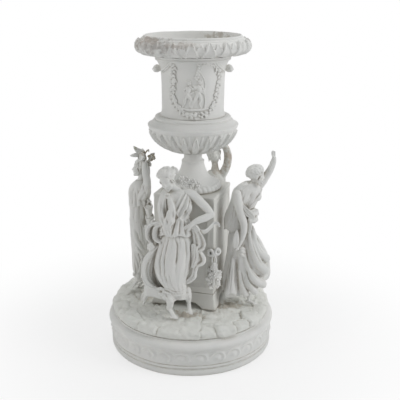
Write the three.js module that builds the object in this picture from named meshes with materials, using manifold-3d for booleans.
// A bisque porcelain centrepiece vase: a campana urn on a pedestal, ringed by four dancing women.
// Millimetres, +Z up, origin on the table under the middle of the round plinth; the front looks along -Y.
import * as THREE from "three";
import { mergeVertices } from "three/addons/utils/BufferGeometryUtils.js";
import Module from "manifold-3d";

const wasm = await Module();
wasm.setup();

// Driving dimensions: fit of the luted pieces
const seam = 0.35; // hairline left between two pieces that touch
const shave = 0.8 * seam; // what a piece that is cut to fit keeps clear of its neighbour
const wall = 6; // wall of the slip-cast shells

// Driving dimensions: round plinth and rocks
const plinthRadius = 109; // plain frieze wall
const plinthHeight = 50; // table to the ledge that the rocks stand on
const plinthLedge = 14; // width of that ledge, inwards from the groove
const grooveInset = 3; // groove under the rocks, in from the frieze wall
const rockHeight = 16; // ledge to the ground that the figures stand on
const rockOverhang = 2; // outer stones stand out past the groove
const rockRoughness = 1.1; // how far single stones rise and fall

// Driving dimensions: pedestal
const axisShift = 3; // pedestal and urn were luted on this far to the right of the plinth's middle
const pedestalTurn = -17.4; // degrees, the pedestal's corner is turned to the front
const pedestalSide = 82.7;
const pedestalHeight = 154.8; // ground to the flat top
const footHeight = 22; // the bracket-foot block under the die
const footSpread = 3.3; // each side of that block stands out this far at the ground
const archWidth = 52;
const archHeight = 9;
const ornamentInset = 9; // bow and flower spray stand this far in from the front face's right edge
const knotRise = 81; // ground to the bow's knot
const bowLoop = 4;
const ribbonThickness = 1.2;

// Driving dimensions: urn
const urnFootRadius = 36.4;
const urnFootHeight = 11.5;
const stemRadius = 11.8;
const stemHeight = 47.7; // pedestal to the underside of the bowl
const bowlRadius = 58;
const bowlHeight = 37.5; // the bowl's underside to its sharp lip
const cupRadius = 40;
const shoulderHeight = 13; // the sharp lip to the light ridge where the cup stands
const cupHeight = 52; // that ridge to where the cup starts to open
const neckHeight = 24.5; // from there to the underside of the rim
const rimRadius = 72.3;
const lipRadius = 61;
const rimHeight = 24.5; // the underside of the rim to the lip
const urnWall = 5;
const lugRadius = 5.2;
const lugRise = 7.5; // above where the cup starts to open

// Driving dimensions: tie rod
const rodRadius = 3;
const boreClearance = 0.6;
const nutRadius = 6;
const nutHeight = 5;
const washerRadius = 11;
const washerThickness = 1.6;

// Driving dimensions: figures, each one's height to the crown and its distance from its face of the pedestal
const frontHeight = 201;
const leftHeight = 187;
const rightHeight = 192;
const backHeight = 194;
const frontStandoff = 19.5;
const leftStandoff = 36;
const rightStandoff = 34.5;
const backStandoff = 32.5;

// Materials
function paint(color, roughness, metalness) {
  return new THREE.MeshStandardMaterial({ color, roughness, metalness });
}
const bisque = paint(0xe6e5df, 0.75, 0);
const dulledBisque = paint(0xdad8cf, 0.8, 0);
const iron = paint(0x6e6a66, 0.45, 1);
const cork = paint(0xb28d5e, 0.9, 0);

const degrees = Math.PI / 180;
const ground = plinthHeight + rockHeight;
const grooveRadius = plinthRadius - grooveInset;
const rockCeiling = ground - wall - 2; // underside of the rock shell
// The ground is flat out to here, under the pedestal's corners.
const levelRadius = Math.SQRT2 * (pedestalSide / 2 + footSpread) + axisShift + 1;
const upright = [0, 0, 0];

// Heights above the table
const pedestalTop = ground + pedestalHeight;
const knotHeight = ground + knotRise;
const stemTop = pedestalTop + stemHeight;
const bowlLip = stemTop + bowlHeight;
const cupFoot = bowlLip + shoulderHeight;
const cupTop = cupFoot + cupHeight;
const lugHeight = cupTop + lugRise;
const neckTop = cupTop + neckHeight;
const urnHeight = neckTop + rimHeight;

// A seeded pseudo-random number from 0 to 1, so that each build is the same.
function chance(seed) {
  const s = Math.sin(seed * 127.1 + 311.7) * 43758.5453;
  return s - Math.floor(s);
}

// Solids and meshes

function solid(geometry) {
  const bare = new THREE.BufferGeometry();
  bare.setAttribute("position", geometry.getAttribute("position").clone());
  if (geometry.index) bare.setIndex(geometry.index.clone());
  const merged = mergeVertices(bare, 1e-4);
  const made = new wasm.Manifold(
    new wasm.Mesh({
      numProp: 3,
      vertProperties: new Float32Array(merged.attributes.position.array),
      triVerts: withoutSlivers(merged.index.array),
    }),
  );
  if (made.volume() < 0) throw new Error("a shape is inside out");
  return made;
}

// A pole or a cap of a lathe has triangles with two corners in one place, which are left out.
function withoutSlivers(index) {
  const kept = [];
  for (let i = 0; i < index.length; i += 3) {
    const [a, b, c] = [index[i], index[i + 1], index[i + 2]];
    if (a !== b && b !== c && c !== a) kept.push(a, b, c);
  }
  return new Uint32Array(kept);
}

function join(...solids) {
  return solids.reduce((a, b) => a.add(b));
}

function biggest(made) {
  return made.decompose().reduce((a, b) => (b.volume() > a.volume() ? b : a));
}

function cornersOf(made) {
  const { vertProperties, numProp, triVerts } = made.getMesh();
  const corners = [];
  for (let i = 0; i < vertProperties.length; i += numProp) {
    corners.push(new THREE.Vector3(vertProperties[i], vertProperties[i + 1], vertProperties[i + 2]));
  }
  return { corners, triVerts };
}

// The solid with every face moved out a little, to cut its neighbours with.
function swollen(made) {
  const { corners, triVerts } = cornersOf(made);
  const touching = corners.map(() => []);
  for (let i = 0; i < triVerts.length; i += 3) {
    const [a, b, c] = [0, 1, 2].map((k) => corners[triVerts[i + k]]);
    const cross = b.clone().sub(a).cross(c.clone().sub(a));
    for (let k = 0; k < 3; k++) touching[triVerts[i + k]].push(cross);
  }
  const moved = corners.map((corner, i) => {
    const out = touching[i].reduce((sum, n) => sum.add(n), new THREE.Vector3()).normalize();
    const facing = touching[i].filter((n) => n.length() > 1e-4).map((n) => n.clone().normalize().dot(out));
    const leastFacing = Math.max(0.35, Math.min(1, ...facing));
    return corner.clone().addScaledVector(out, shave / leastFacing);
  });
  return new wasm.Manifold(
    new wasm.Mesh({
      numProp: 3,
      vertProperties: new Float32Array(moved.flatMap((v) => v.toArray())),
      triVerts: new Uint32Array(triVerts),
    }),
  );
}

function meshOf(name, made, material) {
  const { corners, triVerts } = cornersOf(made);
  const geometry = new THREE.BufferGeometry().setFromPoints(corners);
  geometry.setIndex([...triVerts]);
  geometry.computeVertexNormals();
  const mesh = new THREE.Mesh(geometry, material);
  mesh.name = name;
  return mesh;
}

// Shapes

// A turned piece: the profile is a list of [radius, height] that runs up the outside and closes on itself.
function turned(profile, sides, shape = (v) => v) {
  const outline = [...profile, profile[0]].map(([r, z]) => new THREE.Vector2(r, z));
  const lathe = new THREE.LatheGeometry(outline, sides);
  lathe.rotateX(Math.PI / 2);
  const position = lathe.getAttribute("position");
  const v = new THREE.Vector3();
  for (let i = 0; i < position.count; i++) {
    shape(v.fromBufferAttribute(position, i));
    position.setXYZ(i, v.x, v.y, v.z);
  }
  return solid(lathe);
}

// A closed skin through rings that hold the same number of points, each ring anticlockwise seen from its end.
function loft(rings) {
  const n = rings[0].length;
  const points = rings.flat();
  const middle = (ring) => ring.reduce((sum, p) => sum.add(p), new THREE.Vector3()).divideScalar(n);
  const bottom = points.push(middle(rings[0])) - 1;
  const top = points.push(middle(rings[rings.length - 1])) - 1;
  const index = [];
  for (let k = 0; k < n; k++) {
    const next = (k + 1) % n;
    for (let i = 0; i + 1 < rings.length; i++) {
      const [a, b, c, d] = [i * n + k, i * n + next, (i + 1) * n + k, (i + 1) * n + next];
      index.push(a, b, d, a, d, c);
    }
    const last = (rings.length - 1) * n;
    index.push(bottom, next, k, top, last + k, last + next);
  }
  const geometry = new THREE.BufferGeometry().setFromPoints(points);
  geometry.setIndex(index);
  return solid(geometry);
}

// Smooth values between the rows of a short list, at t from 0 to 1.
function between(rows, t) {
  const at = t * (rows.length - 1);
  const i = Math.min(Math.floor(at), rows.length - 2);
  const u = at - i;
  const row = (k) => rows[Math.max(0, Math.min(rows.length - 1, k))];
  return row(i).map((b, k) => {
    const [a, c, d] = [row(i - 1)[k], row(i + 1)[k], row(i + 2)[k]];
    return b + 0.5 * u * (c - a + u * (2 * a - 5 * b + 4 * c - d + u * (3 * (b - c) + d - a)));
  });
}

// A round limb through knots of [x, y, z, radius], with rounded ends.
function limb(knots, sides = 6, steps = 5) {
  const curve = new THREE.CatmullRomCurve3(knots.map(([x, y, z]) => new THREE.Vector3(x, y, z)));
  const frames = curve.computeFrenetFrames(steps, false);
  const rings = [];
  const ring = (t, i, share, push) => {
    const centre = curve.getPoint(t).addScaledVector(frames.tangents[i], push);
    const radius = between(knots, t)[3] * share;
    rings.push(
      Array.from({ length: sides }, (_, k) => {
        const angle = (2 * Math.PI * k) / sides;
        return centre
          .clone()
          .addScaledVector(frames.normals[i], radius * Math.cos(angle))
          .addScaledVector(frames.binormals[i], radius * Math.sin(angle));
      }),
    );
  };
  const roundness = 0.6;
  ring(0, 0, roundness, -roundness * knots[0][3]);
  for (let i = 0; i <= steps; i++) ring(i / steps, i, 1, 0);
  ring(1, steps, roundness, roundness * knots[knots.length - 1][3]);
  return loft(rings);
}

// Cloth round a body: rows of [height, middle x, middle y, half width, half depth] from the hem up. A fold is
// [angle at the hem, angle at the top, half width in degrees, height, where it starts, where it ends].
function draped(rows, folds, sides = 24, levels = 7) {
  const rings = [];
  for (let level = 0; level <= levels; level++) {
    const t = level / levels;
    const [z, x, y, halfWidth, halfDepth] = between(rows, t);
    const ring = [];
    for (let k = 0; k < sides; k++) {
      const angle = (360 * k) / sides;
      const out = folds.reduce((sum, fold) => sum + foldHeight(fold, angle, t), 0);
      ring.push(
        new THREE.Vector3(
          x + (halfWidth + out) * Math.cos(angle * degrees),
          y + (halfDepth + out) * Math.sin(angle * degrees),
          z,
        ),
      );
    }
    rings.push(ring);
  }
  return loft(rings);
}

function foldHeight([fromAngle, toAngle, halfWidth, height, start, end], angle, t) {
  if (t < start || t > end) return 0;
  const along = (t - start) / (end - start);
  const middle = fromAngle + (toAngle - fromAngle) * along;
  const off = ((((angle - middle) % 360) + 540) % 360) - 180;
  const fade = start === 0 ? 1 - along * along : Math.sin(Math.PI * along);
  return height * fade * Math.exp(-((off / halfWidth) ** 2));
}

// A strip of cloth: rows of [x, y, z, half width as x, y, z] along its run, with rounded edges.
function strip(rows, thickness, steps = 10) {
  const rings = [];
  for (let i = 0; i <= steps; i++) {
    const [x, y, z, wx, wy, wz] = between(rows, i / steps);
    const before = between(rows, Math.max(0, (i - 0.5) / steps));
    const after = between(rows, Math.min(1, (i + 0.5) / steps));
    const run = new THREE.Vector3(after[0] - before[0], after[1] - before[1], after[2] - before[2]);
    const half = new THREE.Vector3(wx, wy, wz);
    const face = run.cross(half).normalize();
    const middle = new THREE.Vector3(x, y, z);
    const at = (share, lift) => middle.clone().addScaledVector(half, share).addScaledVector(face, lift);
    const deep = thickness / 2;
    rings.push([at(-1, 0), at(-0.5, -deep), at(0.5, -deep), at(1, 0), at(0.5, deep), at(-0.5, deep)]);
  }
  return loft(rings);
}

// An egg of half sizes [x, y, z], turned by degrees about X, Y and Z and then moved.
function egg([x, y, z], [sx, sy, sz], [ax, ay, az] = upright, around = 7, down = 5) {
  const ball = new THREE.SphereGeometry(1, around, down);
  ball.rotateX(Math.PI / 2);
  ball.scale(sx, sy, sz);
  ball.rotateX(ax * degrees);
  ball.rotateY(ay * degrees);
  ball.rotateZ(az * degrees);
  ball.translate(x, y, z);
  return solid(ball);
}

function box(width, depth, low, high) {
  const block = new THREE.BoxGeometry(width, depth, high - low);
  block.translate(0, 0, (low + high) / 2);
  return solid(block);
}

function rod(radius, low, high, sides = 12) {
  const bar = new THREE.CylinderGeometry(radius, radius, high - low, sides);
  bar.rotateX(Math.PI / 2);
  bar.translate(0, 0, (low + high) / 2);
  return solid(bar);
}

function moved(made, x, y, z, turn = 0) {
  return made.rotate([0, 0, turn]).translate([x, y, z]);
}

// Base

function plinth() {
  const foot = plinthRadius - 5.5;
  const torus = plinthRadius + 1;
  const ridge = plinthRadius + 4.5;
  const inside = grooveRadius - wall;
  return turned(
    [
      [foot, 0],
      [plinthRadius, 5],
      [torus, 9],
      [plinthRadius - 0.7, 13],
      [plinthRadius + 1, 34],
      [ridge, 38.5],
      [ridge, 42],
      [plinthRadius + 1.5, plinthHeight - 2],
      [grooveRadius, plinthHeight],
      [grooveRadius - plinthLedge, plinthHeight],
      [grooveRadius - plinthLedge, plinthHeight - wall],
      [inside, plinthHeight - wall - 4],
      [inside - 2, 0],
    ],
    32,
  );
}

// The stones are loose steps in height and reach, one value for each stone of a ring.
function stone(v) {
  const radius = Math.hypot(v.x, v.y);
  if (v.z < plinthHeight + 1 || radius < levelRadius + 0.1) return v;
  const ring = Math.round(radius / 17);
  const sector = Math.floor(((Math.atan2(v.y, v.x) / (2 * Math.PI) + 1) * 20 + ring * 0.4) % 20);
  const rise = rockRoughness * (2 * chance(sector + 31 * ring) - 1);
  v.z += rise;
  v.x *= 1 + rise / radius;
  v.y *= 1 + rise / radius;
  return v;
}

function rocks() {
  const edge = grooveRadius + rockOverhang;
  const hole = rodRadius + boreClearance + axisShift; // about the plinth's middle, so it clears the rod
  return turned(
    [
      [grooveRadius - 1, plinthHeight + seam],
      [edge, plinthHeight + 2.5],
      [edge + 0.3, plinthHeight + 7],
      [edge - 2.2, plinthHeight + 11.5],
      [edge - 12, plinthHeight + 13.5],
      [(edge + levelRadius) / 2, ground - 1],
      [levelRadius, ground],
      [hole, ground],
      [hole, rockCeiling],
      [edge - 36, rockCeiling - 1],
      [grooveRadius - plinthLedge + 1, plinthHeight + seam],
    ],
    32,
    stone,
  );
}

// Pedestal, in its own turned frame

function pedestalFoot() {
  const corner = Math.SQRT1_2;
  const block = (topSide, bottomSide, low, high) => {
    const frustum = new THREE.CylinderGeometry(topSide * corner, bottomSide * corner, high - low, 4);
    frustum.rotateX(Math.PI / 2);
    frustum.rotateZ(45 * degrees);
    frustum.translate(0, 0, (low + high) / 2);
    return solid(frustum);
  };
  const low = ground + seam;
  const high = ground + footHeight;
  const bottomSide = pedestalSide + 2 * footSpread;
  const bend = low + footHeight * 0.45;
  const flared = join(
    block(pedestalSide + 2, bottomSide, low, bend + 0.01),
    block(pedestalSide + 1, pedestalSide + 2, bend, high),
  );
  const hollow = box(pedestalSide - 2 * wall, pedestalSide - 2 * wall, low - 1, high + 1);
  const arch = new THREE.Shape();
  arch.moveTo(-archWidth / 2, -2);
  arch.lineTo(archWidth / 2, -2);
  arch.lineTo(archWidth / 2 - 3, archHeight * 0.45);
  arch.quadraticCurveTo(archWidth / 4, archHeight, 0, archHeight);
  arch.quadraticCurveTo(-archWidth / 4, archHeight, 3 - archWidth / 2, archHeight * 0.45);
  const through = new THREE.ExtrudeGeometry(arch, {
    depth: 2 * bottomSide,
    bevelEnabled: false,
    curveSegments: 4,
  });
  through.rotateX(Math.PI / 2);
  through.translate(0, bottomSide, low);
  const archway = solid(through);
  return flared.subtract(hollow).subtract(archway).subtract(archway.rotate([0, 0, 90]));
}

function pedestalDie() {
  const low = ground + footHeight + seam;
  const inner = pedestalSide - 2 * wall;
  return box(pedestalSide, pedestalSide, low, pedestalTop)
    .subtract(box(inner, inner, low - 1, pedestalTop - wall))
    .subtract(rod(rodRadius + boreClearance, pedestalTop - wall - 1, pedestalTop + 1));
}

// Ornaments luted on the front face near its right corner, in the pedestal's frame
const ornamentX = pedestalSide / 2 - ornamentInset;
const ornamentY = -pedestalSide / 2 - 1.2;

function bow() {
  const loop = (side) => {
    const ring = new THREE.TorusGeometry(bowLoop, ribbonThickness, 5, 9);
    ring.scale(1.15, 0.8, 1);
    ring.rotateX(Math.PI / 2);
    ring.rotateY(-side * 25 * degrees);
    ring.translate(ornamentX + side * (bowLoop + 1), ornamentY - 0.8, knotHeight + 1.5);
    return solid(ring);
  };
  const tail = limb([
    [ornamentX, ornamentY, knotHeight, 1.8],
    [ornamentX - 0.5, ornamentY, knotHeight - 9, 1.6],
    [ornamentX + 0.5, ornamentY, knotHeight - 17, 1.9],
  ]);
  return join(loop(-1), loop(1), egg([ornamentX, ornamentY - 0.5, knotHeight], [2.4, 2, 2.2]), tail);
}

function flowerSpray() {
  const blooms = [
    [0, -20, 4.2],
    [-4, -26, 4],
    [3, -28, 4],
    [-1, -34, 4.6],
    [-5, -40, 3.8],
    [3, -41, 4.2],
    [-1, -48, 4],
    [0, -54, 3],
  ];
  return join(
    ...blooms.map(([x, z, r]) => egg([ornamentX + x, ornamentY, knotHeight + z], [r, 3.2, r])),
  );
}

// Urn, in its own frame on the urn's axis

const urnSides = 24;
const bowlFloor = stemTop + 9;
const bore = rodRadius + boreClearance;

function urnFoot() {
  const low = pedestalTop + seam;
  const collar = low + urnFootHeight;
  const shoulder = urnFootRadius - 8;
  return turned(
    [
      [urnFootRadius - 1.2, low],
      [urnFootRadius, low + urnFootHeight * 0.62],
      [urnFootRadius - 4, low + urnFootHeight * 0.92],
      [shoulder, collar],
      [shoulder - 4, collar + 4],
      [shoulder - 10.5, collar + 12],
      [stemRadius + 2.2, collar + 20],
      [stemRadius, stemTop - seam],
      [bore, stemTop - seam],
      [bore, collar + 14],
      [shoulder - 8, collar - 1],
      [urnFootRadius - 7, low],
    ],
    urnSides,
  );
}

function bowl() {
  const inside = bowlRadius - urnWall;
  return turned(
    [
      [stemRadius + 2, stemTop],
      [31.5, stemTop + 5.8],
      [40, stemTop + 10],
      [47, stemTop + 16],
      [52.5, stemTop + 22.5],
      [bowlRadius - 1.5, bowlLip - 9],
      [bowlRadius, bowlLip],
      [bowlRadius - 6, bowlLip + 7.5],
      [cupRadius + 4, cupFoot - seam],
      [cupRadius - urnWall, cupFoot - seam],
      [inside - 3, bowlLip - 6],
      [inside - 9, stemTop + 20],
      [washerRadius + 9, bowlFloor],
      [bore, bowlFloor],
      [bore, stemTop],
    ],
    urnSides,
  );
}

function cup() {
  const neck = cupRadius + 9.5;
  return turned(
    [
      [cupRadius + 2.6, cupFoot],
      [cupRadius + 0.4, cupFoot + 4],
      [cupRadius, cupFoot + 8],
      [cupRadius + 0.7, cupTop],
      [cupRadius + 3, cupTop + 10],
      [neck - 1.5, neckTop - 4.5],
      [neck + 3, neckTop - seam],
      [neck - urnWall + 2, neckTop - seam],
      [cupRadius - urnWall + 3, cupTop + 9],
      [cupRadius - urnWall, cupTop - 3],
      [cupRadius - urnWall, cupFoot],
    ],
    urnSides,
  );
}

function rim() {
  const neck = cupRadius + 9.5;
  return turned(
    [
      [neck + 2, neckTop],
      [rimRadius - 7, neckTop + 1.8],
      [rimRadius - 1.8, neckTop + rimHeight * 0.2],
      [rimRadius, neckTop + rimHeight * 0.37],
      [rimRadius - 3, neckTop + rimHeight * 0.73],
      [rimRadius - 7, neckTop + rimHeight * 0.87],
      [lipRadius + 0.8, urnHeight - 0.6],
      [lipRadius, urnHeight],
      [lipRadius - 3, urnHeight - 0.8],
      [neck + 3.5, neckTop + 14],
      [neck - urnWall + 3, neckTop],
    ],
    urnSides,
  );
}

// A knob that the strap of a swag hangs from, at one side of the neck.
function lug(side) {
  const across = [lugRadius, lugRadius, lugRadius];
  const knob = egg([side * (cupRadius + 6.2), 0, lugHeight], across, upright, 9, 7);
  const root = limb([
    [side * (cupRadius + 4), 0, lugHeight, 3.2],
    [side * (cupRadius - 1), 0, lugHeight + 1, 3.6],
  ]);
  const strap = limb([
    [side * (cupRadius + 3), -3, lugHeight - 4, 2],
    [side * (cupRadius - 2), -15, lugHeight + 1, 1.8],
    [side * (cupRadius - 12), -29, lugHeight + 8, 1.6],
  ]);
  return join(knob, root, strap);
}

const wreathHalfAngle = 40; // degrees round the cup on each side of the wreath's middle
const wreathTurn = 3; // degrees, the wreath's middle stands a little to the right
const wreathDrop = 24; // half height

// The oval leafy wreath, laid round the front of the cup.
function wreath() {
  const middle = (cupFoot + cupTop) / 2 + 2;
  const knots = [];
  const turns = 12;
  for (let i = 0; i <= turns; i++) {
    const round = (2 * Math.PI * i) / turns;
    const angle = (wreathTurn - 90 + wreathHalfAngle * Math.sin(round)) * degrees;
    const out = cupRadius + 0.9;
    knots.push([out * Math.cos(angle), out * Math.sin(angle), middle - wreathDrop * Math.cos(round), 1.9]);
  }
  const opening = knots.slice(0, turns / 2 + 1);
  const closing = knots.slice(turns / 2);
  return join(limb(opening, 5, 9), limb(closing, 5, 9));
}

// A small child of the front relief, half sunk in the cup's wall.
function putto(along, facing) {
  const lump = (across, height, size, lean = 0) => {
    const angle = (wreathTurn - 90) * degrees + (along + facing * across) / cupRadius;
    const r = cupRadius + 1.2;
    const place = [r * Math.cos(angle), r * Math.sin(angle), cupFoot + height];
    return egg(place, size, [0, facing * lean, wreathTurn + (along * 57) / cupRadius], 6, 4);
  };
  return join(
    lump(1, 37, [3, 2.6, 3.2]),
    lump(0.4, 28, [4, 2.6, 7]),
    lump(-1.6, 17, [2.2, 2.2, 7], 8),
    lump(2.6, 17, [2.2, 2.2, 7], -14),
    lump(4.5, 31, [4.5, 1.8, 1.8], -30),
  );
}

// Two children dance on a strip of ground.
function childrenRelief() {
  const soil = [-15, -5, 5, 15].map((along) => {
    const angle = (wreathTurn - 90) * degrees + along / cupRadius;
    return [(cupRadius + 0.6) * Math.cos(angle), (cupRadius + 0.6) * Math.sin(angle), cupFoot + 11, 2.4];
  });
  return join(putto(-7, 1), putto(8, -1), limb(soil, 5, 4));
}

// Tie rod with its nuts and washers, on the urn's axis

function ring(outer, inner, low, high, sides) {
  return rod(outer, low, high, sides).subtract(rod(inner, low - 1, high + 1, 12));
}

const rodHole = rodRadius + seam;
const lowWasherTop = rockCeiling - seam;
const lowNutTop = lowWasherTop - washerThickness - seam;
const highCorkLow = bowlFloor + seam;
const highWasherLow = highCorkLow + washerThickness + seam;
const highNutLow = highWasherLow + washerThickness + seam;

// Figures: each is in a frame on the ground at its standing point, with the object's own axes. Its points are
// drawn at the height that it states, and it is then brought to its driving height.
function scaledTo(height, { drawnAt, figure }) {
  const share = height / drawnAt;
  return Object.fromEntries(Object.entries(figure).map(([name, made]) => [name, made.scale(share)]));
}

function frontFigure() {
  const figure = {
    front_blouse: draped(
      [
        [101, 1, -2, 19.5, 13.5],
        [112, 2, -2, 17, 12.5],
        [127, 4, -2, 10.5, 9],
        [140, 7, -1, 12, 10],
        [150, 8, 0, 14, 10.5],
        [161, 5, 3, 14.5, 8],
        [168, 1, 5, 7, 6],
      ],
      [
        [250, 262, 9, 2, 0, 0.5],
        [290, 280, 9, 2, 0, 0.5],
        [215, 240, 10, 1.8, 0, 0.45],
        [330, 300, 10, 1.8, 0, 0.45],
        [292, 268, 12, 2.5, 0.45, 0.95],
        [238, 262, 12, 2.5, 0.45, 0.95],
      ],
      22,
      7,
    ),
    front_skirt: draped(
      [
        [20, 1, -6, 16, 11],
        [34, 2, -5, 13.5, 11.5],
        [58, -1, -4, 17, 13.5],
        [82, -1, -3, 19, 14],
        [104, 1, -2, 18, 13],
        [122, 3, -2, 10, 8.5],
      ],
      [
        [262, 268, 9, 2.6, 0, 0.9],
        [232, 246, 9, 2, 0, 0.8],
        [300, 286, 9, 2.4, 0, 0.85],
        [330, 305, 10, 2, 0, 0.8],
        [200, 215, 12, 2, 0, 0.8],
        [80, 90, 14, 2.5, 0, 0.8],
        [130, 120, 14, 2.5, 0, 0.8],
        [30, 45, 14, 2.5, 0, 0.8],
      ],
    ),
    front_head: join(
      egg([-11, 0, 184], [9.6, 10.6, 12.6], [8, -22, 0], 10, 8),
      limb(
        [
          [-9, 2, 178, 5.2],
          [-3, 4, 170, 5],
          [2, 5, 162, 5.6],
        ],
        6,
        3,
      ),
      egg([-14, -10, 181.5], [1.3, 2, 2.6], [8, -22, 0], 6, 4),
    ),
    front_hair: join(
      egg([-10, 2.5, 188.5], [12.6, 12, 10.5], [-14, -22, 0], 10, 7),
      egg([-9, -2, 198.5], [5, 5, 4]),
      egg([-3, 11, 184], [5.5, 5, 5.5]),
    ),
    front_arm_bent: join(
      limb([
        [-13, 3, 158, 5.5],
        [-20, 0, 146, 5],
        [-19, -5, 130, 4.6],
        [-14, -9, 124, 4.6],
      ]),
      limb([
        [-15, -9, 124, 4.8],
        [-10, -14, 136, 5.5],
        [-8, -13, 150, 3.6],
        [-9, -11, 158, 2.8],
      ]),
      egg([-10, -9.5, 163], [3.6, 2.8, 5], [0, -20, 0]),
    ),
    front_arm_on_hip: join(
      limb([
        [14, 5, 162, 5.5],
        [26, 3, 156, 5.6],
        [38, -1, 147, 5],
        [46, -4, 139, 4.4],
      ]),
      limb([
        [46, -4, 139, 4.4],
        [36, -8, 134, 4.2],
        [26, -10, 131, 3.4],
        [19, -11, 128, 3],
      ]),
      egg([17, -11, 123], [3.2, 3, 6], [0, 12, 0]),
    ),
    front_foot_near: limb([
      [-10, 4, 20, 4],
      [-9, 2, 10, 3.4],
      [-7, -4, 5, 3.6],
      [0, -18, 1.5, 3.2],
    ]),
    front_foot_far: limb([
      [14, 4, 20, 3.8],
      [14, 4, 11, 3.2],
      [14.5, -2, 6, 3.4],
      [15, -12, 2.5, 3],
    ]),
    front_mantle: join(
      strip(
        [
          [-20, 4, 124, 3, 6, 0],
          [-32, 6, 117, 7, 5, 3],
          [-44, 6, 92, 9, 4, -2],
          [-46, 5, 60, 9, 5, 1],
          [-38, 3, 32, 7, 7, 4],
          [-22, -2, 17, 2, 9, 5],
          [-8, -6, 15, 0, 8, 5],
        ],
        4.5,
        12,
      ),
      egg([-26, -3, 9], [14, 9, 8], upright, 8, 5),
    ),
    front_shawl: strip(
      [
        [17, -10, 122, 4, 0, 3],
        [24, -9, 104, 8, 1, 2],
        [20, -8, 92, 9, 2, -3],
        [28, -7, 76, 8, 2, 3],
        [21, -6, 62, 7, 2, -3],
        [24, -6, 48, 6, 2, 3],
        [16, -6, 32, 4, 2, -2],
      ],
      5,
      14,
    ),
    front_garland: limb(
      [
        [-4, 11, 178, 3.5],
        [4, 12, 170, 4.5],
        [14, 13, 162, 4.6],
        [24, 14, 156, 3.6],
        [33, 14, 151, 2.6],
      ],
      7,
      9,
    ),
    front_scroll: strip(
      [
        [24, -9, 125, 0, 1, 4],
        [32, -8, 119, 0, 1, 5],
        [40, -6, 123, 0, 1, 4],
        [48, -4, 127, 0, 1, 3],
      ],
      3,
      6,
    ),
  };
  return { drawnAt: 201, figure };
}

function leftFigure() {
  const figure = {
    left_blouse: draped(
      [
        [104, -1, 0, 13, 13],
        [116, -3, 0, 13.5, 12.5],
        [128, -2, 0, 14, 11],
        [139, -1, 0, 16, 13],
        [148, 1, 0, 15, 12],
        [156, 3, 0, 7, 7],
      ],
      [
        [190, 200, 12, 1.8, 0.35, 1],
        [250, 262, 10, 1.8, 0.35, 1],
        [300, 285, 10, 2, 0.35, 1],
        [230, 240, 10, 1.5, 0, 0.5],
        [280, 275, 10, 1.5, 0, 0.5],
      ],
      18,
      6,
    ),
    left_skirt: draped(
      [
        [20, -1, 0, 10, 9],
        [34, 0, 0, 11, 10.5],
        [55, 0, 0, 12.5, 12.5],
        [82, 0, 0, 13.5, 13.5],
        [108, -1, 0, 12.5, 12],
      ],
      [
        [300, 250, 9, 2.4, 0.1, 0.9],
        [330, 275, 9, 2.4, 0.2, 0.95],
        [270, 230, 10, 2, 0.05, 0.7],
        [190, 200, 12, 1.6, 0, 0.9],
        [140, 150, 14, 2, 0, 0.9],
        [60, 60, 14, 2, 0, 0.9],
      ],
    ),
    left_head: join(
      egg([-1, -1, 176], [10, 9, 11.5], [0, -24, 0], 10, 8),
      limb(
        [
          [0, 0, 170, 5],
          [1, 0, 162, 4.8],
          [2, 0, 154, 5.6],
        ],
        6,
        3,
      ),
      egg([-10, -1, 180], [2, 1.3, 2.2], [0, -24, 0], 6, 4),
    ),
    left_hair: join(
      egg([2, -0.5, 179], [10.5, 10.8, 10.5], [0, -30, 0], 10, 7),
      egg([-1, -1, 190], [5.5, 4.5, 4]),
      egg([10, 0, 172], [4.5, 5, 5]),
    ),
    left_arm_near: join(
      limb([
        [8, -10, 146, 6],
        [14, -13, 158, 5.6],
        [14, -12, 172, 4.4],
        [13, -11, 184, 3.3],
        [11, -10, 190, 2.8],
      ]),
      egg([10, -10, 194], [3, 3, 4.6], [0, -20, 0]),
    ),
    left_arm_far: join(
      limb([
        [8, 10, 146, 6],
        [16, 11, 158, 5.2],
        [19, 8, 172, 4.2],
        [20, 2, 184, 3.2],
        [19, -2, 190, 2.8],
      ]),
      egg([18, -3, 194], [3, 3, 4.6], [0, -20, 0]),
    ),
    left_foot: limb([
      [3, -1, 22, 3.8],
      [2, -2, 12, 3.2],
      [-3, -4, 8, 3.4],
      [-14, -6, 1.5, 3],
    ]),
    left_back_foot: limb([
      [4, 5, 22, 3.8],
      [6, 7, 12, 3.2],
      [6, 7, 6, 3.6],
      [2, 9, 1.5, 3],
    ]),
    left_tambourine: join(
      rod(8.2, -2, 2, 14).rotate([0, 62, -25]).translate([4, -10, 201]),
      limb(
        [
          [0, -12, 205, 2.2],
          [-5, -13, 211, 1.6],
          [-8, -13, 215, 0.9],
        ],
        6,
        4,
      ),
      limb(
        [
          [-2, -12, 202, 2.2],
          [-9, -13, 204, 1.6],
          [-14, -13, 204, 0.9],
        ],
        6,
        4,
      ),
    ),
    left_leaves: join(
      egg([21, -7, 196], [4.6, 3, 5.4], [0, 20, 0]),
      egg([16.5, -8, 201.5], [3.4, 2.4, 4.4], [0, -30, 0]),
    ),
    left_scroll: join(
      limb(
        [
          [10, -10, 126, 4.8],
          [11, -11, 116, 5],
          [11, -11.5, 108, 4.6],
        ],
        9,
        4,
      ),
      egg([12, -12, 102], [5, 5, 5]),
    ),
  };
  return { drawnAt: 187, figure };
}

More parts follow.
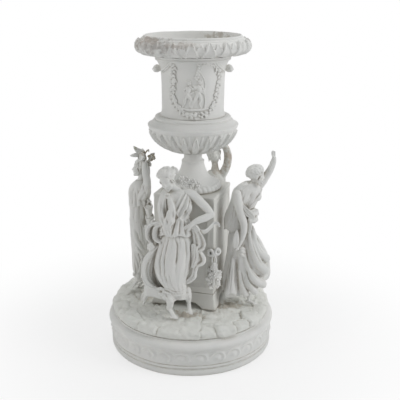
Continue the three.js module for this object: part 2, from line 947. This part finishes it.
function rightFigure() {
  const figure = {
    right_blouse: draped(
      [
        [108, -10, 0, 16, 13],
        [118, -10, 0, 14, 12],
        [130, -5, -1, 13, 11.5],
        [142, -2, -1, 14.5, 12.5],
        [152, 1, -1, 14, 12],
        [160, 4, 0, 8, 8],
      ],
      [
        [220, 235, 12, 2, 0.3, 1],
        [260, 262, 10, 2, 0.3, 1],
        [320, 300, 10, 1.6, 0.3, 1],
        [170, 180, 12, 2, 0, 0.8],
      ],
      18,
      6,
    ),
    right_skirt: draped(
      [
        [11, -1, -1, 24, 17],
        [24, 1, -1, 26, 18],
        [42, 1, 0, 25, 17],
        [62, -1, 0, 22, 15.5],
        [86, -5, 0, 18, 14],
        [110, -9, 0, 14.5, 12],
      ],
      [
        [242, 255, 9, 4.5, 0, 0.75],
        [275, 268, 8, 3, 0, 0.85],
        [300, 284, 8, 3, 0, 0.9],
        [325, 300, 9, 3.5, 0, 0.9],
        [352, 320, 9, 5, 0, 0.85],
        [212, 230, 10, 3, 0, 0.8],
        [150, 140, 14, 3.5, 0, 0.8],
        [90, 90, 14, 3, 0, 0.8],
        [40, 60, 14, 3.5, 0, 0.8],
      ],
      28,
      8,
    ),
    right_head: join(
      egg([7, 0, 181], [10.6, 9.4, 12.2], [0, 14, 0], 10, 8),
      limb(
        [
          [5, 0, 174, 5.2],
          [4, 0, 166, 5],
          [3, 0, 157, 6],
        ],
        6,
        3,
      ),
      egg([17, 0, 180.5], [2, 1.3, 2.4], [0, 14, 0], 6, 4),
    ),
    right_hair: join(
      egg([4.5, 0, 184], [11.5, 11.4, 10.8], [0, 10, 0], 10, 7),
      egg([12, -9, 179], [4, 3.4, 5]),
      egg([-5, 0, 178], [5, 6, 6]),
    ),
    right_arm_raised: join(
      limb([
        [11, 5, 156, 6],
        [19, 6, 164, 5.4],
        [26, 6, 176, 4.6],
        [31, 5, 190, 3.6],
        [33, 4, 200, 2.8],
      ]),
      egg([33, 3.5, 208], [2.6, 2.4, 8.5], [0, -14, 0]),
    ),
    right_arm_lowered: join(
      limb([
        [-1, -11, 150, 5.6],
        [-6, -15, 138, 5],
        [-8, -17, 122, 4.2],
        [-10, -17, 108, 3.6],
        [-11, -17, 98, 2.7],
      ]),
      egg([-12, -17, 92], [3.4, 2.8, 5.6], [0, 14, 0]),
    ),
    right_waist_drape: join(
      limb(
        [
          [-9, -13, 128, 3.5],
          [2, -13, 122, 6],
          [11, -9, 120, 7.5],
          [15, 0, 118, 6.5],
          [12, 9, 116, 4.5],
        ],
        8,
        10,
      ),
      limb(
        [
          [4, -13, 116, 5],
          [8, -12, 108, 4.5],
          [8, -11, 100, 2.6],
        ],
        7,
        5,
      ),
    ),
    right_mirror: limb(
      [
        [-15, -18, 84, 1.2],
        [-16, -18, 92, 3.6],
        [-16, -18, 100, 3.8],
        [-15, -18, 108, 1.2],
      ],
      6,
      8,
    ),
    right_foot: limb([
      [2, -7, 22, 3.8],
      [2, -7, 11, 3.4],
      [4, -9, 4, 3.6],
      [13, -12, -1, 3.2],
    ]),
  };
  return { drawnAt: 192, figure };
}

function backFigure() {
  const figure = {
    back_blouse: draped(
      [
        [100, 3, 4, 18, 13],
        [112, 2, 3, 16, 12],
        [126, 1, 2, 10.5, 9],
        [139, 1, 1, 13, 10.5],
        [150, 2, 0, 14, 10],
        [160, 1, -1, 12, 7],
      ],
      [
        [60, 75, 10, 2, 0, 0.9],
        [95, 95, 10, 2, 0, 0.9],
        [130, 110, 10, 2, 0, 0.9],
        [20, 40, 12, 2, 0, 0.5],
        [165, 140, 12, 2, 0, 0.5],
      ],
      18,
      6,
    ),
    back_skirt: draped(
      [
        [12, 3, 3, 22, 16],
        [28, 2, 3, 20, 15],
        [52, 1, 3, 18.5, 14.5],
        [80, 2, 3, 18.5, 14],
        [102, 2, 3, 16.5, 12],
      ],
      [
        [60, 70, 9, 3, 0, 0.9],
        [90, 92, 9, 2.6, 0, 0.9],
        [120, 112, 9, 3, 0, 0.9],
        [150, 132, 10, 3, 0, 0.9],
        [25, 45, 11, 3, 0, 0.8],
        [200, 200, 14, 2.5, 0, 0.8],
        [340, 330, 14, 2.5, 0, 0.8],
      ],
    ),
    back_head: join(
      egg([0, 0, 179], [9.4, 10.4, 12], [-6, -10, 0], 10, 8),
      limb(
        [
          [0, 0, 172, 5],
          [1, 0, 164, 5],
          [1, 0, 156, 5.6],
        ],
        6,
        3,
      ),
      egg([-1, 10, 178], [1.3, 2, 2.4], [-6, -10, 0], 6, 4),
    ),
    back_hair: join(
      egg([0, -2, 183], [11.4, 11.6, 10.5], upright, 10, 7),
      egg([-1, -2, 192], [6, 6, 4]),
      egg([0, -10.5, 178], [5, 4.5, 5]),
    ),
    back_arm_raised: join(
      limb([
        [12, -1, 152, 6],
        [21, -3, 163, 5.4],
        [26, -5, 178, 5],
        [23, -8, 192, 4],
        [16, -10, 199, 3],
      ]),
      egg([12, -11, 200.5], [5, 2.6, 2.8], [0, 12, 0]),
    ),
    back_arm_lowered: join(
      limb([
        [-12, 0, 153, 5.6],
        [-23, 4, 143, 5],
        [-31, 8, 130, 4.2],
        [-28, 12, 116, 3.4],
        [-22, 13, 107, 2.8],
      ]),
      egg([-20, 13, 102], [3, 3, 5.4], [0, 18, 0]),
    ),
    back_foot: limb([
      [-6, 9, 22, 3.8],
      [-7, 10, 10, 3.4],
      [-8, 14, 4, 3.6],
      [-10, 22, -1, 3.2],
    ]),
  };
  return { drawnAt: 194, figure };
}

// Assembly: each figure stands before one face of the turned pedestal.
function standing(face, standoff, along) {
  const outwards = (pedestalTurn - 90 + 90 * face) * degrees;
  const sideways = outwards + Math.PI / 2;
  const reach = pedestalSide / 2 + standoff;
  return [
    axisShift + reach * Math.cos(outwards) + along * Math.cos(sideways),
    reach * Math.sin(outwards) + along * Math.sin(sideways),
    ground,
  ];
}

const pieces = [];
const onTable = [0, 0, 0];

function add(named, material, place = onTable, turn = 0, cutToFit = true) {
  for (const [name, made] of Object.entries(named)) {
    pieces.push({ name, made: moved(made, ...place, turn), material, cutToFit });
  }
}

const onAxis = [axisShift, 0, 0];
add({ base_plinth: plinth(), rock_mound: rocks() }, bisque, onTable, 0, false);
add({ pedestal_foot: pedestalFoot(), pedestal_die: pedestalDie() }, bisque, onAxis, pedestalTurn, false);
add({ urn_foot: urnFoot(), urn_bowl: bowl(), urn_cup: cup(), urn_rim: rim() }, bisque, onAxis, 0, false);
add(
  {
    tie_rod: rod(rodRadius, lowNutTop - nutHeight - 3, highNutLow + nutHeight + 3),
    tie_rod_lower_washer: ring(washerRadius, rodHole, lowWasherTop - washerThickness, lowWasherTop, 16),
    tie_rod_lower_nut: ring(nutRadius, rodHole, lowNutTop - nutHeight, lowNutTop, 6),
    tie_rod_upper_washer: ring(washerRadius, rodHole, highWasherLow, highWasherLow + washerThickness, 16),
    tie_rod_upper_nut: ring(nutRadius, rodHole, highNutLow, highNutLow + nutHeight, 6),
  },
  iron,
  onAxis,
  0,
  false,
);
const corkPad = ring(washerRadius, rodHole, highCorkLow, highCorkLow + washerThickness, 16);
add({ tie_rod_cork_pad: corkPad }, cork, onAxis, 0, false);
add(
  {
    urn_lug_left: lug(-1),
    urn_lug_right: lug(1),
    urn_wreath: wreath(),
    urn_children_relief: childrenRelief(),
  },
  bisque,
  onAxis,
);
add({ pedestal_bow: bow(), pedestal_flower_spray: flowerSpray() }, bisque, onAxis, pedestalTurn);
add(scaledTo(frontHeight, frontFigure()), bisque, standing(0, frontStandoff, -3));
add(scaledTo(leftHeight, leftFigure()), bisque, standing(3, leftStandoff, 3));
add(scaledTo(rightHeight, rightFigure()), bisque, standing(1, rightStandoff, -1.5));
add(scaledTo(backHeight, backFigure()), dulledBisque, standing(2, backStandoff, -8.5));

// A piece lower in the list is cut to fit round those above it, with the seam between them.
const vase = new THREE.Group();
vase.name = "bisque_vase";
const kept = [];
for (const piece of pieces) {
  let made = piece.made;
  if (piece.cutToFit) {
    const { min, max } = made.boundingBox();
    for (const { box, cutter } of kept) {
      const meets = [0, 1, 2].every((k) => box.min[k] - 1 < max[k] && box.max[k] + 1 > min[k]);
      if (meets) made = made.subtract(cutter);
    }
    made = biggest(made);
  }
  kept.push({ box: made.boundingBox(), cutter: swollen(made).add(made) });
  vase.add(meshOf(piece.name, made, piece.material));
}

export default vase;
